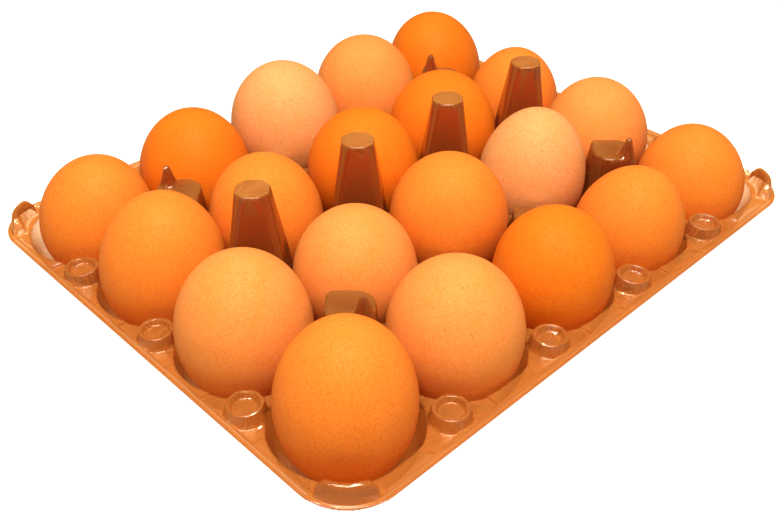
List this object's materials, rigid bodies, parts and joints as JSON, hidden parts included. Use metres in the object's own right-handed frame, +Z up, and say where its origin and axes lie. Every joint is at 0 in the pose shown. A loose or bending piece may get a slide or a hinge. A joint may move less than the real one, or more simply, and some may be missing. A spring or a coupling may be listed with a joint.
{
  "type": "egg tray with eggs",
  "caption": "Open clear plastic egg tray with round cups, hollow posts and a flat rim, filled with brown hen's eggs standing on end.",
  "frame": {"origin": "middle of the plane that the undersides of the cups rest on", "axes": "+X along the five-cup side, +Y along the four-cup side, +Z up"},
  "size_m": [0.252, 0.208, 0.061],
  "materials": {
    "tray_plastic": "clear thermoformed sheet with a light amber tint, glossy",
    "eggshell_pale": "matt, finely pored, pale peach brown",
    "eggshell_light": "matt, finely pored, light brown",
    "eggshell_medium": "matt, finely pored, mid brown with fine speckles",
    "eggshell_dark": "matt, finely pored, deeper orange brown with fine speckles"
  },
  "bodies": {
    "root": {"tray": "tray_plastic", "egg_a1": "eggshell_medium", "egg_a2": "eggshell_light", "egg_a3": "eggshell_medium", "egg_a4": "eggshell_medium", "egg_b1": "eggshell_light", "egg_b2": "eggshell_light", "egg_b3": "eggshell_medium", "egg_b4": "eggshell_dark", "egg_c1": "eggshell_dark", "egg_c2": "eggshell_medium", "egg_c3": "eggshell_dark", "egg_c4": "eggshell_pale", "egg_d1": "eggshell_medium", "egg_d2": "eggshell_pale", "egg_d3": "eggshell_dark", "egg_d4": "eggshell_light", "egg_e1": "eggshell_medium", "egg_e2": "eggshell_light", "egg_e3": "eggshell_medium", "egg_e4": "eggshell_dark"}
  },
  "joints": []
}
